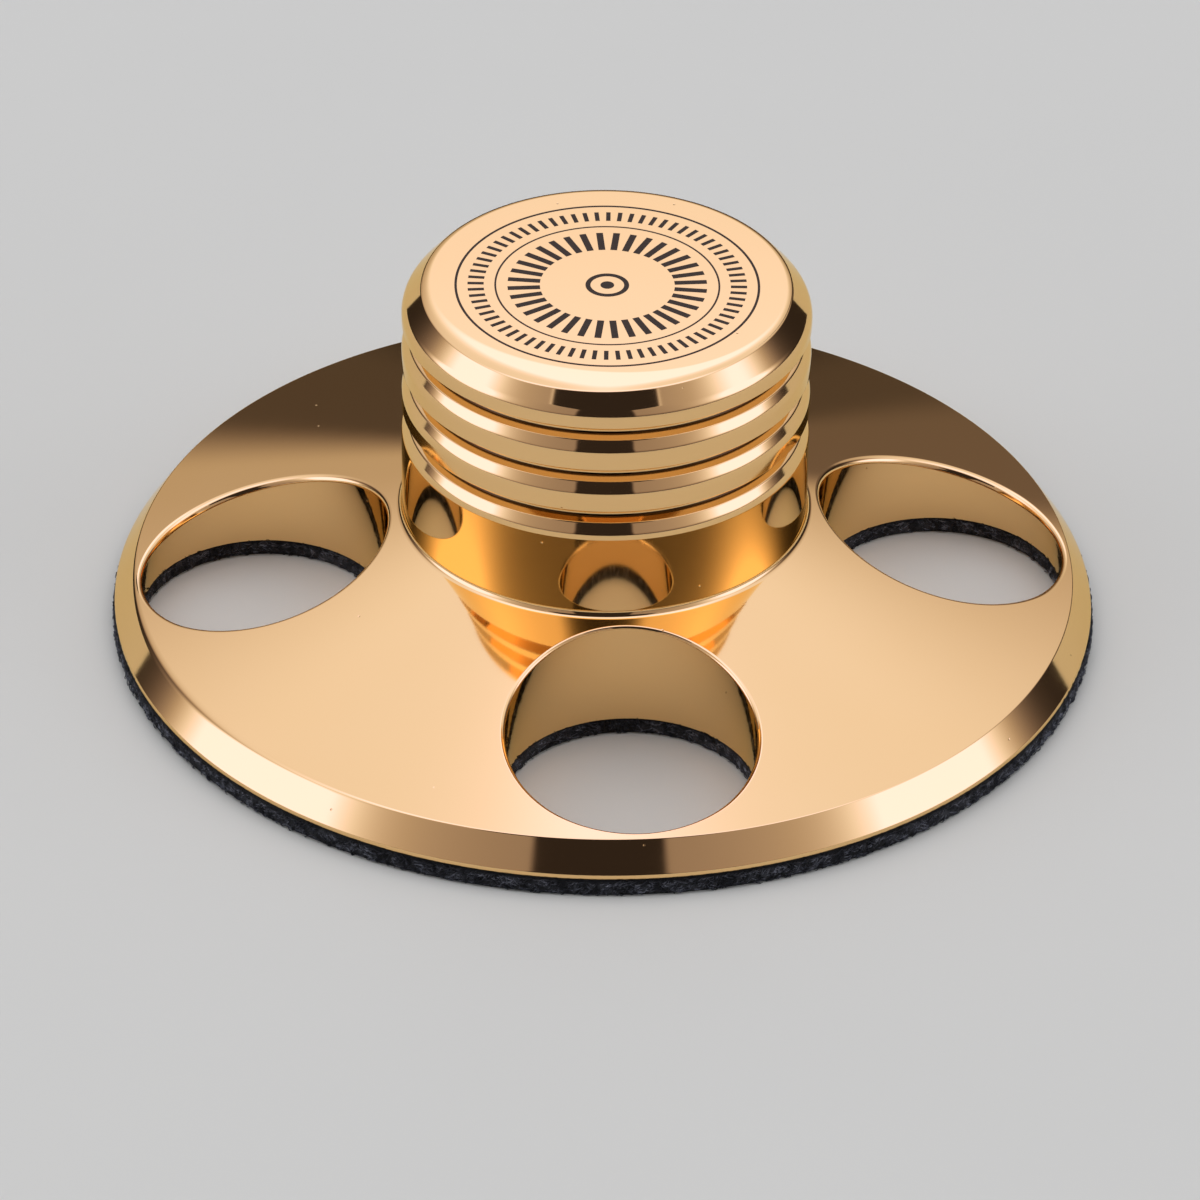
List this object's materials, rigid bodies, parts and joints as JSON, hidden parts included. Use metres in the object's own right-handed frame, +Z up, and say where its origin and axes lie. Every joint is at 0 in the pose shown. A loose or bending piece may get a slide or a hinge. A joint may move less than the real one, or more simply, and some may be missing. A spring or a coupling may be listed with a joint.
{
  "type": "record weight",
  "caption": "Gold-plated record weight: a ringed knob on a shallow pierced cone with a felt pad beneath. It drops over a turntable's spindle and presses the record flat.",
  "frame": {"origin": "on the axis at the felt pad's underside, where the weight rests on the record", "axes": "+Z up along the axis, from the pad to the knob; the holes lie on the X and Y axes"},
  "size_m": [0.08, 0.08, 0.0314],
  "materials": {
    "gold_plate": "mirror polished gold plate",
    "felt": "pressed black felt"
  },
  "bodies": {
    "root": {"weight_body": "gold_plate", "felt_pad": "felt"}
  },
  "joints": []
}
